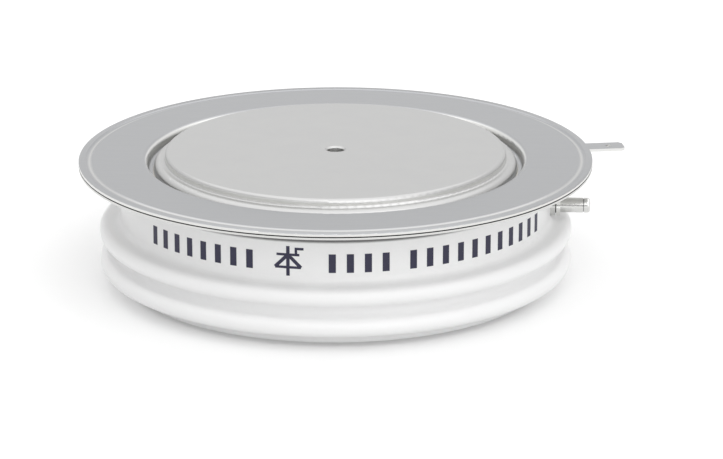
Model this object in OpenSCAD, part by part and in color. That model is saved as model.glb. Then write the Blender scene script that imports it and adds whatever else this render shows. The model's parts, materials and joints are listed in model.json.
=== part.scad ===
// Disc thyristor: a press-pack power semiconductor in a ribbed ceramic housing.
// The origin is the centre of the anode contact face, +Z points to the cathode and +X along the gate tube.

/* [Cathode pole] */
// Diameter of both contact faces
contact_d = 99.6; // [90:0.1:110]
// Height of the cathode contact face above the lid's flat ring
contact_rise = 2; // [1:0.1:4]
// Drop from the contact face to the ledge round it
ledge_drop = 2.5; // [1.5:0.1:4]
// Width of the ledge round the contact face
ledge_w = 3.2; // [1.5:0.1:4]
// Rounding of the contact face's edge
contact_edge_r = 1; // [0.2:0.1:1.2]
// Fillet at the foot of the contact face's wall
contact_fillet_r = 0.6; // [0.2:0.1:1]
// Rounding of the ledge's outer edge
ledge_edge_r = 1.8; // [0.2:0.1:2]
// Width of the shoulder that the lid's floor is brazed to
shoulder_w = 0.7; // [0.5:0.1:1.6]
// Chamfer on the inner edges of both poles
pole_chamfer = 0.8; // [0.3:0.1:1.5]
// Diameter of the centring hole in each contact face
centring_d = 5.2; // [3:0.1:8]
// Depth of the centring holes
centring_depth = 4; // [2:0.5:6]
// Chamfer at the mouth of the centring holes
centring_chamfer = 0.5; // [0.2:0.1:1]

/* [Lid] */
// Thickness of the lid's sheet
lid_t = 0.8; // [0.5:0.1:1]
// Width of the groove round the pole
groove_w = 2; // [1.6:0.1:4]
// Radius of the rounded shoulder from the flat ring into the groove
groove_bend_r = 1.5; // [1.2:0.1:2.9]
// Height of the groove's straight wall between its two bends
groove_wall_h = 0.9; // [0.1:0.1:3]
// Radius of the hollow corner at the groove's floor
groove_floor_r = 1.2; // [0.3:0.1:1.4]
// Room between the groove's wall and the ceramic's bore
groove_gap = 1.2; // [0.5:0.1:3]
// How far the rim stands out from the ceramic's neck
rim_overhang = 12; // [8:0.5:16]
// Rounding of the rim's top edge
rim_edge_r = 0.2; // [0.1:0.05:0.3]
// Distance from the rim's edge to the middle of the pressed weld groove
weld_inset = 2.8; // [2.5:0.1:4]
// Width of the pressed weld groove at its mouth
weld_groove_w = 2; // [1.2:0.1:2.4]
// Depth of the pressed weld groove in each sheet
weld_groove_depth = 0.3; // [0.1:0.05:0.35]
// Width of each sloped side of the weld groove
weld_groove_slope = 0.5; // [0.2:0.1:0.55]

/* [Auxiliary cathode tab] */
// Width of the blade tab
tab_w = 6.3; // [4.8:0.1:9.5]
// Length of the blade tab beyond the rim
tab_l = 10.6; // [7:0.1:16]
// Chamfer on the blade tab's corners
tab_chamfer = 1; // [0.5:0.1:2]
// Diameter of the hole in the blade tab
tab_hole_d = 1.65; // [1:0.05:3]
// Distance from the blade tab's end to its hole
tab_hole_inset = 4.5; // [3:0.1:6]
// Angle of the blade tab round the rim from the gate tube, degrees
tab_angle = 10.8; // [10:0.1:350]

/* [Weld ring] */
// Thickness of the weld ring's sheet
weld_ring_t = 0.6; // [0.5:0.1:1]
// Width of the weld ring's braze on the ceramic
braze_w = 5; // [3:0.1:5.5]
// Gap between the two sheets at the rim's edge
lip_gap = 0.3; // [0.1:0.05:0.5]
// Width of the parted lip at the rim's edge
lip_w = 1.4; // [0.8:0.1:1.5]

/* [Ceramic ring] */
// Height of the ceramic ring
ceramic_h = 34.4; // [32:0.1:44]
// Thickness of the ceramic's wall at its neck
ceramic_wall = 6; // [5:0.1:9]
// How far the ribs stand out from the neck
rib_reach = 6.3; // [4:0.1:9]
// Radius of the ribs' round crests
rib_tip_r = 2.5; // [1.5:0.1:3.5]
// Distance from rib to rib
rib_pitch = 9; // [8:0.1:10.5]
// Height of the lowest rib's middle above the ceramic's foot
rib_rise = 5.9; // [4.5:0.1:7]
// Depth of the valley between the ribs
rib_valley = 5; // [3:0.1:6]
// Fillet between the neck and the top rib
neck_fillet_r = 2; // [0.5:0.1:3]
// How far the foot stands back from the neck
foot_inset = 1; // [0.5:0.1:2]
// Fillet between the foot and the lowest rib
foot_fillet_r = 1.5; // [0.5:0.1:1.8]
// Rounding of the neck's top edge
neck_edge_r = 0.8; // [0.2:0.1:0.9]

/* [Anode side] */
// Height of the whole anode pole
anode_pole_h = 15.5; // [14:0.1:17]
// Width of the shoulder that the flange is brazed to
anode_shoulder_w = 3.2; // [2:0.1:4]
// How far the contact face stands below the flange
flange_rise = 0.4; // [0.2:0.1:2]
// Thickness of the flange's sheet
flange_t = 0.8; // [0.5:0.1:1.5]
// How far the flange stands back from the ceramic's foot
flange_inset = 3; // [0.2:0.1:4]
// Rounding of the anode contact face's edge
anode_edge_r = 0.3; // [0.2:0.05:0.6]

/* [Semiconductor stack] */
// How far the silicon wafer's edge stands out past the contact faces
wafer_margin = 0.2; // [0:0.1:1]
// Thickness of the silicon wafer
wafer_t = 1.3; // [0.8:0.1:2]
// Bevel on the wafer's lower edge
wafer_bevel = 0.6; // [0.2:0.1:0.7]
// How far the anode disc stands back from the wafer's edge
anode_disc_inset = 1; // [0.5:0.1:2]
// Thickness of the anode disc
anode_disc_t = 2.5; // [1.5:0.1:3.5]
// How far the cathode disc stands back from the wafer's edge
cathode_disc_inset = 3.5; // [2:0.1:6]
// Thickness of the cathode disc
cathode_disc_t = 1.7; // [1.2:0.1:3]
// Diameter of the window in the cathode disc for the gate pin
window_d = 8; // [6:0.1:10]
// Width of the rubber edge ring outside the wafer
edge_ring_w = 2.8; // [1.5:0.1:4]
// Thickness of the edge ring's lips over and under the wafer
edge_lip_t = 0.7; // [0.4:0.1:1]
// Thickness of the centring ring's wall
centring_wall = 3.8; // [2:0.1:6]
// Thickness of the centring ring's base
centring_base_t = 2.5; // [1.5:0.1:4]
// Height of the centring ring below the cathode pole
centring_gap = 0.4; // [0.2:0.1:0.7]
// Depth of the pole's step under the centring ring
centring_seat_h = 3; // [2.6:0.1:5]

/* [Gate terminal] */
// Height of the gate tube's axis above the cathode pole's underside
gate_rise = 2.2; // [2:0.1:3]
// Outer diameter of the gate tube
tube_d = 4.4; // [3.6:0.1:5]
// Bore of the gate tube
tube_bore_d = 2.8; // [2:0.1:3.2]
// How far the gate tube stands out from the ceramic's neck
tube_reach = 11.6; // [9:0.1:16]
// How far the gate tube reaches into the housing
tube_inner_l = 1; // [0.4:0.1:1.3]
// Length of the tube's closed end
tube_end_l = 1.8; // [1.2:0.1:3]
// Rounding of the tube's closed end
tube_end_r = 0.8; // [0.3:0.1:1.1]
// Width of the groove behind the tube's closed end
tube_groove_w = 0.3; // [0.2:0.1:0.5]
// Depth of the groove behind the tube's closed end
tube_groove_depth = 0.25; // [0.2:0.05:0.5]
// Diameter of the tube's flange and of the eyelet's head
gate_flange_d = 6.4; // [5.8:0.1:8]
// Thickness of the tube's flange
gate_flange_t = 1.2; // [0.6:0.1:2]
// Height of the eyelet's head above the neck
eyelet_h = 1.4; // [0.6:0.1:2]
// Depth of the flat under the eyelet's head, below the neck's surface at the flat's sides
eyelet_seat_depth = 0.6; // [0.05:0.05:1]
// Wall of the eyelet round the tube
eyelet_wall = 0.6; // [0.3:0.1:0.7]
// Gap between the eyelet's head and the tube's flange
gate_weld_gap = 0.3; // [0.1:0.1:0.5]
// How far the weld between eyelet and flange stands back from their edges
gate_weld_inset = 0.8; // [0.2:0.1:0.9]

/* [Gate contact] */
// Diameter of the gate lead's wire
lead_d = 1.2; // [0.8:0.1:1.6]
// Outer diameter of the lead's sleeve
sleeve_d = 3; // [2.2:0.1:3.6]
// Diameter of the pocket in the cathode pole
pocket_d = 12; // [10:0.1:16]
// Depth of the pocket in the cathode pole
pocket_depth = 10; // [8:0.1:12]
// Bore of the insulating cup
cup_bore_d = 6.4; // [6:0.1:8]
// Thickness of the insulating cup's top
cup_top_t = 1.2; // [0.8:0.1:2]
// Diameter of the gate pin's head
pin_head_d = 5.2; // [4.4:0.1:5.6]
// Diameter of the gate pin's tip
pin_tip_d = 2.6; // [1.6:0.1:3.6]
// Height of the gate pin's head above the lead's axis
pin_head_above = 1.4; // [1:0.1:2]
// Depth of the gate pin's head below the lead's axis
pin_head_below = 1.2; // [1:0.1:1.6]
// Diameter of the gate spring's wire
spring_wire_d = 0.6; // [0.4:0.1:0.7]
// Outer diameter of the gate spring
spring_d = 4.4; // [3:0.1:5]
// Turns of the gate spring
spring_turns = 5; // [3:0.5:6]

/* [Hidden] */
$fn = 96;

// Room that a cut runs past a face
over = 1;
// Room between pieces that slide together
slide = 0.1;
// Room round the loose pieces of the stack
loose = 0.2;
// Room at each end of the gate spring
spring_room = 0.02;
// Points round the spring's wire and along one of its turns
spring_sides = 8;
spring_steps = 20;

// Heights from the anode contact face up
foot_z = flange_rise + flange_t;
anode_disc_z = anode_pole_h;
wafer_z = anode_disc_z + anode_disc_t;
cathode_disc_z = wafer_z + wafer_t;
pole_z = cathode_disc_z + cathode_disc_t;
neck_z = foot_z + ceramic_h;
weld_z = neck_z + weld_ring_t;
lid_z = weld_z + lid_t;
contact_z = lid_z + contact_rise;
ledge_z = contact_z - ledge_drop;
groove_bend_z = lid_z - groove_bend_r;
groove_wall_z = groove_bend_z - groove_wall_h;
groove_z = groove_wall_z - groove_floor_r;
shoulder_z = groove_z - lid_t;
gate_z = pole_z + gate_rise;
ring_seat_z = anode_pole_h - centring_seat_h;

// Radii of the cathode pole and of the lid's groove, from the middle out
contact_r = contact_d / 2;
ledge_r = contact_r + ledge_w;
shoulder_r = ledge_r + shoulder_w;
groove_r = ledge_r + groove_w;
groove_bend_x = groove_r + groove_bend_r;
groove_floor_x = groove_r - groove_floor_r;

// Radii of the stack and of the anode pole
wafer_r = contact_r + wafer_margin;
anode_disc_r = wafer_r - anode_disc_inset;
cathode_disc_r = wafer_r - cathode_disc_inset;
edge_ring_r = wafer_r + edge_ring_w;
anode_body_r = contact_r + anode_shoulder_w;

// Radii of the ceramic and the sheets brazed to it: the bore clears what is widest inside
stack_bore_r = edge_ring_r + loose + centring_wall + loose;
bore_r = max(stack_bore_r, groove_r + lid_t + groove_gap, anode_body_r + groove_gap);
neck_r = bore_r + ceramic_wall;
foot_r = neck_r - foot_inset;
crest_r = neck_r + rib_reach;
rim_r = neck_r + rim_overhang;
weld_r = rim_r - weld_inset;
lip_r = rim_r - lip_w;
flange_r = foot_r - flange_inset;

// Ribs: each crest is a full round, and so is the valley between them
rib_tip_x = crest_r - rib_tip_r;
rib_z = foot_z + rib_rise;
top_rib_z = rib_z + rib_pitch;
valley_z = (rib_z + top_rib_z) / 2;
valley_r = rib_pitch / 2 - rib_tip_r;
valley_x = crest_r - rib_valley + valley_r;

// Gate terminal, along +X from the housing's axis
tube_r = tube_d / 2;
gate_flange_r = gate_flange_d / 2;
gate_weld_r = gate_flange_r - gate_weld_inset;
eyelet_r = tube_r + eyelet_wall;
seat_r = gate_flange_r + loose;
seat_x = sqrt(neck_r * neck_r - seat_r * seat_r) - eyelet_seat_depth;
eyelet_x = neck_r + eyelet_h;
gate_flange_x = eyelet_x + gate_weld_gap;
tube_x = bore_r - tube_inner_l;
tube_end_x = neck_r + tube_reach;
tube_groove_x = tube_end_x - tube_end_l - tube_groove_w;

// Gate contact, in the cathode pole's pocket and slot
lead_r = lead_d / 2;
sleeve_r = sleeve_d / 2;
slot_r = sleeve_r + slide;
pocket_r = pocket_d / 2;
pocket_z = pole_z + pocket_depth;
cup_bore_r = cup_bore_d / 2;
cup_top_z = pocket_z - cup_top_t;
pin_head_r = pin_head_d / 2;
pin_tip_r = pin_tip_d / 2;
pin_head_z = gate_z + pin_head_above;
lead_start_x = -pin_head_r / 2;
lead_end_x = tube_end_x - tube_end_r;
spring_wire_r = spring_wire_d / 2;
spring_r = spring_d / 2 - spring_wire_r;
spring_bottom_z = pin_head_z + spring_wire_r + spring_room;
spring_top_z = cup_top_z - spring_wire_r - spring_room;

// What a round of radius r leaves in a square corner at the origin: a fillet to add, or a rounding to cut
module corner(r) {
    difference() {
        square(r);
        translate([r, r])
            circle(r);
    }
}

// Quarter of a bent sheet round the origin, in the quadrant x > 0, y > 0
module bend(inner_r, outer_r) {
    intersection() {
        difference() {
            circle(outer_r);
            circle(inner_r);
        }
        square(outer_r);
    }
}

// Rectangle of a profile, from one corner to the other
module block(from, to) {
    translate(from)
        square(to - from);
}

// Cylinder along +X at the gate's height
module gate_rod(r, from_x, to_x) {
    translate([from_x, 0, gate_z])
        rotate([0, 90, 0])
            cylinder(h = to_x - from_x, r = r);
}

// Profile of a centring hole with its mouth at the origin, going down
module centring_hole() {
    block([0, -centring_depth], [centring_d / 2, 0]);
    polygon([
        [0, 0],
        [centring_d / 2 + centring_chamfer, 0],
        [centring_d / 2, -centring_chamfer],
        [0, -centring_chamfer]
    ]);
}

// Triangle that cuts a chamfer from a square corner at the origin
module chamfer(size) {
    polygon([[0, 0], [size, 0], [0, size]]);
}

// Half profile of the pressed weld groove, with the sheet's surface on the X axis
module weld_groove() {
    half_w = weld_groove_w / 2;
    polygon([
        [weld_r - half_w, 0],
        [weld_r - half_w + weld_groove_slope, -weld_groove_depth],
        [weld_r + half_w - weld_groove_slope, -weld_groove_depth],
        [weld_r + half_w, 0]
    ]);
}

// Upper pole: contact boss, ledge, brazing shoulder, and below them the gate's pocket and slot
module cathode_pole() {
    color("#C9C9C9")
        difference() {
            rotate_extrude()
                difference() {
                    union() {
                        block([0, pole_z], [shoulder_r, shoulder_z]);
                        block([0, shoulder_z], [ledge_r, ledge_z]);
                        block([0, ledge_z], [contact_r, contact_z]);
                        translate([contact_r, ledge_z])
                            corner(contact_fillet_r);
                    }
                    translate([contact_r, contact_z])
                        rotate(180)
                            corner(contact_edge_r);
                    translate([ledge_r, ledge_z])
                        rotate(180)
                            corner(ledge_edge_r);
                    translate([shoulder_r, pole_z])
                        rotate(90)
                            chamfer(pole_chamfer);
                    translate([0, contact_z])
                        centring_hole();
                }
            translate([0, 0, pole_z - over])
                cylinder(h = pocket_depth + over, r = pocket_r);
            translate([0, -slot_r, pole_z - over])
                cube([shoulder_r + over, 2 * slot_r, gate_rise + over]);
            gate_rod(slot_r, 0, shoulder_r + over);
        }
}

// Sheet lid: groove round the pole, flat ring, weld groove and the blade tab at the rim
module cathode_lid() {
    color("#B9BABC")
        union() {
            rotate_extrude()
                difference() {
                    union() {
                        block([groove_bend_x, weld_z], [rim_r, lid_z]);
                        translate([groove_bend_x, groove_bend_z])
                            rotate(90)
                                bend(groove_bend_r - lid_t, groove_bend_r);
                        block([groove_r, groove_wall_z], [groove_r + lid_t, groove_bend_z]);
                        translate([groove_floor_x, groove_wall_z])
                            rotate(-90)
                                bend(groove_floor_r, groove_floor_r + lid_t);
                        block([ledge_r, shoulder_z], [groove_floor_x, groove_z]);
                    }
                    translate([0, lid_z])
                        weld_groove();
                    translate([rim_r, lid_z])
                        rotate(180)
                            corner(rim_edge_r);
                }
            blade_tab();
        }
}

// Blade of the auxiliary cathode, cut from the lid's own sheet and running out from its rim
module blade_tab() {
    root_x = rim_r - rim_edge_r - over;
    end_x = rim_r + tab_l;
    half_w = tab_w / 2;
    rotate(tab_angle)
        translate([0, 0, weld_z])
            linear_extrude(lid_t)
                difference() {
                    polygon([
                        [root_x, -half_w],
                        [end_x - tab_chamfer, -half_w],
                        [end_x, tab_chamfer - half_w],
                        [end_x, half_w - tab_chamfer],
                        [end_x - tab_chamfer, half_w],
                        [root_x, half_w]
                    ]);
                    translate([end_x - tab_hole_inset, 0])
                        circle(d = tab_hole_d);
                }
}

// Lower sheet of the rim: brazed to the ceramic, welded to the lid, with its outer lip parted from it
module weld_ring() {
    color("#BEBFC1")
        rotate_extrude()
            difference() {
                union() {
                    block([neck_r - braze_w, neck_z], [lip_r, weld_z]);
                    block([lip_r - lip_gap, neck_z - lip_gap], [rim_r, weld_z - lip_gap]);
                }
                translate([0, neck_z])
                    mirror([0, 1])
                        weld_groove();
            }
}

// Glazed insulator: plain neck, round ribs with a round valley between them, and a foot
module ceramic_ring() {
    color("#F3F3F0")
        difference() {
            rotate_extrude()
                ceramic_profile();
            gate_rod(eyelet_r, bore_r / 2, neck_r + over);
            gate_rod(seat_r, seat_x, crest_r + over);
        }
}

// Half profile of the insulator
module ceramic_profile() {
    difference() {
        union() {
            block([bore_r, foot_z], [foot_r, rib_z]);
            block([bore_r, rib_z], [rib_tip_x, top_rib_z]);
            block([bore_r, top_rib_z], [neck_r, neck_z]);
            for (z = [rib_z, top_rib_z])
                translate([0, z])
                    rib();
            translate([neck_r, top_rib_z + rib_tip_r])
                corner(neck_fillet_r);
            translate([foot_r, rib_z - rib_tip_r])
                rotate(-90)
                    corner(foot_fillet_r);
        }
        translate([neck_r, neck_z])
            rotate(180)
                corner(neck_edge_r);
        translate([valley_x, valley_z])
            valley();
    }
}

// Half profile of one rib, with its middle on the X axis
module rib() {
    block([bore_r, -rib_tip_r], [rib_tip_x, rib_tip_r]);
    translate([rib_tip_x, 0])
        circle(rib_tip_r);
}

// Round-bottomed cut between the ribs, with the middle of its round at the origin
module valley() {
    circle(valley_r);
    block([0, -valley_r], [rib_valley + over, valley_r]);
}

// Sheet ring under the ceramic, brazed to its foot and to the anode pole's shoulder
module anode_flange() {
    color("#BEBFC1")
        rotate_extrude()
            block([contact_r, flange_rise], [flange_r, foot_z]);
}

// Lower pole: contact boss, brazing shoulder, and a step for the centring ring under the anode disc
module anode_pole() {
    color("#C9C9C9")
        rotate_extrude()
            difference() {
                union() {
                    block([0, 0], [contact_r, foot_z]);
                    block([0, foot_z], [anode_body_r, ring_seat_z]);
                    block([0, ring_seat_z], [anode_disc_r, anode_pole_h]);
                }
                translate([contact_r, 0])
                    rotate(90)
                        corner(anode_edge_r);
                translate([anode_body_r, ring_seat_z])
                    rotate(180)
                        chamfer(pole_chamfer);
                mirror([0, 1])
                    centring_hole();
            }
}

// Bush brazed into the ceramic's wall, with a head on its flat seat
module gate_eyelet() {
    color("#B4B4B4")
        difference() {
            union() {
                gate_rod(eyelet_r, bore_r, eyelet_x);
                gate_rod(gate_flange_r, seat_x, eyelet_x);
            }
            gate_rod(tube_r, bore_r - over, eyelet_x + over);
        }
}

// Gate terminal: a tube with a flange welded to the eyelet and a closed, rounded end
module gate_tube() {
    color("#C4C4C4")
        translate([0, 0, gate_z])
            rotate([0, 90, 0])
                rotate_extrude()
                    gate_tube_profile();
}

// Half profile of the gate tube, with its axis on the Y axis
module gate_tube_profile() {
    difference() {
        union() {
            block([0, tube_x], [tube_r, tube_end_x]);
            block([0, eyelet_x], [gate_weld_r, gate_flange_x]);
            block([0, gate_flange_x], [gate_flange_r, gate_flange_x + gate_flange_t]);
        }
        block([0, tube_x - over], [tube_bore_d / 2, tube_groove_x]);
        block([0, tube_x], [lead_r, lead_end_x]);
        block([tube_r - tube_groove_depth, tube_groove_x], [tube_r + over, tube_groove_x + tube_groove_w]);
        translate([tube_r, tube_end_x])
            rotate(180)
                corner(tube_end_r);
    }
}

// Molybdenum disc between the anode pole and the wafer
module anode_disc() {
    color("#8E9196")
        translate([0, 0, anode_disc_z])
            cylinder(h = anode_disc_t, r = anode_disc_r);
}

// Silicon wafer with its lower edge bevelled
module silicon_wafer() {
    color("#5C616A")
        rotate_extrude()
            difference() {
                block([0, wafer_z], [wafer_r, cathode_disc_z]);
                translate([wafer_r, wafer_z])
                    rotate(90)
                        chamfer(wafer_bevel);
            }
}

// Molybdenum disc between the wafer and the cathode pole, with a window for the gate pin
module cathode_disc() {
    color("#8E9196")
        translate([0, 0, cathode_disc_z])
            difference() {
                cylinder(h = cathode_disc_t, r = cathode_disc_r);
                translate([0, 0, -over])
                    cylinder(h = cathode_disc_t + 2 * over, d = window_d);
            }
}

// Rubber ring that wraps the wafer's edge, with a lip above it and one below
module edge_ring() {
    bottom_z = wafer_z - edge_lip_t;
    top_z = cathode_disc_z + edge_lip_t;
    color("#C8C0B0")
        rotate_extrude()
            difference() {
                block([anode_disc_r + loose, bottom_z], [edge_ring_r, top_z]);
                block([0, wafer_z], [wafer_r, cathode_disc_z]);
            }
}

// Plastic ring on the anode pole's step, which centres the stack in the ceramic's bore
module centring_ring() {
    outer_r = bore_r - loose;
    color("#E9E4D6")
        rotate_extrude() {
            block([anode_disc_r + slide, ring_seat_z], [outer_r, ring_seat_z + centring_base_t]);
            block([edge_ring_r + loose, ring_seat_z], [outer_r, pole_z - centring_gap]);
        }
}

// Contact pin: a slim tip on the wafer and a head that holds the lead
module gate_pin() {
    head_bottom_z = gate_z - pin_head_below;
    color("#D0D0CE")
        difference() {
            union() {
                translate([0, 0, cathode_disc_z])
                    cylinder(h = gate_z - cathode_disc_z, r = pin_tip_r);
                translate([0, 0, head_bottom_z])
                    cylinder(h = pin_head_z - head_bottom_z, r = pin_head_r);
            }
            gate_rod(lead_r, lead_start_x, pin_head_r + over);
        }
}

// One point of the spring's surface: turn counts along the wire and side goes round it
function spring_point(turn, side) =
    let (
        angle = 360 * turn,
        round_wire = 360 * side / spring_sides,
        reach = spring_r + spring_wire_r * cos(round_wire),
        climb = (spring_top_z - spring_bottom_z) * turn / spring_turns
    )
    [reach * cos(angle), reach * sin(angle), spring_bottom_z + climb + spring_wire_r * sin(round_wire)];

// Coil spring between the pin's head and the cup's top
module gate_spring() {
    rings = spring_turns * spring_steps;
    points = [
        for (i = [0 : rings])
            for (side = [0 : spring_sides - 1])
                spring_point(i / spring_steps, side)
    ];
    walls = [
        for (i = [0 : rings - 1])
            for (side = [0 : spring_sides - 1])
                let (next = (side + 1) % spring_sides)
                [
                    i * spring_sides + side,
                    (i + 1) * spring_sides + side,
                    (i + 1) * spring_sides + next,
                    i * spring_sides + next
                ]
    ];
    first_end = [for (side = [0 : spring_sides - 1]) side];
    last_end = [for (side = [spring_sides - 1 : -1 : 0]) rings * spring_sides + side];
    color("#9DA0A4")
        polyhedron(points, concat(walls, [first_end, last_end]));
}

// Insulating cup in the pole's pocket, with a side hole for the lead's sleeve
module gate_cup() {
    color("#EFEFEA")
        difference() {
            translate([0, 0, pole_z])
                cylinder(h = pocket_depth, r = pocket_r);
            translate([0, 0, pole_z - over])
                cylinder(h = cup_top_z - pole_z + over, r = cup_bore_r);
            gate_rod(slot_r, 0, pocket_r + over);
        }
}

// Wire from the pin's head to the closed end of the gate tube
module gate_lead() {
    color("#D0D0CE")
        gate_rod(lead_r, lead_start_x, lead_end_x);
}

// Insulating sleeve on the wire, from the cup to the gate tube
module lead_sleeve() {
    color("#F4F4F0")
        difference() {
            gate_rod(sleeve_r, cup_bore_r, tube_x - loose);
            gate_rod(lead_r + slide / 2, 0, tube_x);
        }
}

cathode_pole();
cathode_lid();
weld_ring();
ceramic_ring();
anode_flange();
anode_pole();
gate_eyelet();
gate_tube();
anode_disc();
silicon_wafer();
cathode_disc();
edge_ring();
centring_ring();
gate_pin();
gate_spring();
gate_cup();
gate_lead();
lead_sleeve();
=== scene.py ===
"""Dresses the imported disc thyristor: its finishes, the print on its neck, a braze bead and a plain studio."""

import json
import logging
import math
from dataclasses import dataclass
from enum import Enum

import bpy
from mathutils import Matrix, Vector

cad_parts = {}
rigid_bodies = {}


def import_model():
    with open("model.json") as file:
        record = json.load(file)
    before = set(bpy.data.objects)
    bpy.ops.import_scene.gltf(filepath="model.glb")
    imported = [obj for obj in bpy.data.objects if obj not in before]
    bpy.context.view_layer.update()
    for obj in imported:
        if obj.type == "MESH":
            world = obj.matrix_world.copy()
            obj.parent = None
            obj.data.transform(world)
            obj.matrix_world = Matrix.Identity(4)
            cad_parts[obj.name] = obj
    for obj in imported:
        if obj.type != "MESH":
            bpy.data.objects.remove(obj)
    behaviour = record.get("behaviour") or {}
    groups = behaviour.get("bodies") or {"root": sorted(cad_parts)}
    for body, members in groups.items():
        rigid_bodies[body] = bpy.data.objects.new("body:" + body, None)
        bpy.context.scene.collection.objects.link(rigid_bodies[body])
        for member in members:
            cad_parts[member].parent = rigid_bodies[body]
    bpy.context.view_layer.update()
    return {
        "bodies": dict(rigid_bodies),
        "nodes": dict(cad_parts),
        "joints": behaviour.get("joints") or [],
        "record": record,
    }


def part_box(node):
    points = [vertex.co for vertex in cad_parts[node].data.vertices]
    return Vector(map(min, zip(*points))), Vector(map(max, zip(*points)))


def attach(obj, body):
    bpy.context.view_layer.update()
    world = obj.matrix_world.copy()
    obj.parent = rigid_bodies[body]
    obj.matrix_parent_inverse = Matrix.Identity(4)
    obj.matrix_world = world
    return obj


Tree = bpy.types.NodeTree
Socket = bpy.types.NodeSocket
Piece = bpy.types.Object

LOG = logging.getLogger("disc_thyristor")
MM = 0.001
# A mix node's sockets for colours have to be named by their numbers.
MIX_SHARE, MIX_FIRST, MIX_SECOND, MIX_RESULT = 0, 6, 7, 2
# Distance between the rings of a wave texture at scale 1.
WAVE_SPACING = math.tau / 20
# How much slower a streak's noise changes along it than across it.
STREAK_STRETCH = 0.04


class Axis(Enum):
    """The way that the marks of rolling or drawing run, as the noise's scale in each direction."""

    ALONG_X = (STREAK_STRETCH, 1.0, 1.0)
    ALONG_Z = (1.0, 1.0, STREAK_STRETCH)


def linear_colour(code: str) -> tuple[float, float, float, float]:
    """Turns an sRGB hex value into the linear colour that a socket takes.

    Args:
        code: The colour as "#RRGGBB".

    Returns:
        Linear red, green and blue with an alpha of 1.
    """
    channels = [int(code[i : i + 2], 16) / 255 for i in (1, 3, 5)]
    return (*(c / 12.92 if c <= 0.04045 else ((c + 0.055) / 1.055) ** 2.4 for c in channels), 1.0)


def add_node(tree: Tree, kind: str, inputs: dict | None = None, **settings: object) -> bpy.types.Node:
    """Adds a node with its settings and links.

    Args:
        tree: The tree that gets the node.
        kind: The node's type.
        inputs: What goes into its inputs, by name or index: a constant, or the socket of another node.
        settings: The node's own properties.

    Returns:
        The new node.
    """
    node = tree.nodes.new(kind)
    for name, value in settings.items():
        setattr(node, name, value)
    for key, value in (inputs or {}).items():
        if isinstance(value, Socket):
            tree.links.new(value, node.inputs[key])
        else:
            node.inputs[key].default_value = value
    return node


def axis_distance(tree: Tree, place: Socket) -> Socket:
    """Measures how far a point lies from the part's axis.

    Args:
        tree: The material's node tree.
        place: Object coordinates.

    Returns:
        The distance's output, in metres.
    """
    level = add_node(tree, "ShaderNodeVectorMath", {0: place, 1: (1.0, 1.0, 0.0)}, operation="MULTIPLY")
    length = add_node(tree, "ShaderNodeVectorMath", {0: level.outputs["Vector"]}, operation="LENGTH")
    return length.outputs["Value"]


def seen_rays(tree: Tree) -> Socket:
    """Tells the rays that show a background from those that carry its light.

    Args:
        tree: The node tree of a floor or a world.

    Returns:
        A socket that is 1 for rays straight from the camera, off a mirror or through glass, and 0 for others.
    """
    rays = add_node(tree, "ShaderNodeLightPath").outputs
    mirrored = add_node(
        tree,
        "ShaderNodeMath",
        {0: rays["Is Glossy Ray"], 1: rays["Is Transmission Ray"]},
        operation="MAXIMUM",
    )
    return add_node(
        tree, "ShaderNodeMath", {0: rays["Is Camera Ray"], 1: mirrored.outputs[0]}, operation="MAXIMUM"
    ).outputs[0]


@dataclass(frozen=True)
class Finish:
    """A surface as it was made, which gives a material."""

    name: str

    def material(self) -> bpy.types.Material:
        """Makes the material, once.

        Returns:
            The finish's material.
        """
        made = bpy.data.materials.get(self.name)
        if made is None:
            made = bpy.data.materials.new(self.name)
            made.use_nodes = True
            made.node_tree.nodes.clear()
            add_node(made.node_tree, "ShaderNodeOutputMaterial", {"Surface": self.surface(made.node_tree)})
        return made

    def surface(self, tree: Tree) -> Socket:
        """Draws the finish.

        Args:
            tree: The material's node tree.

        Returns:
            The shader's output.
        """
        raise NotImplementedError


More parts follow.
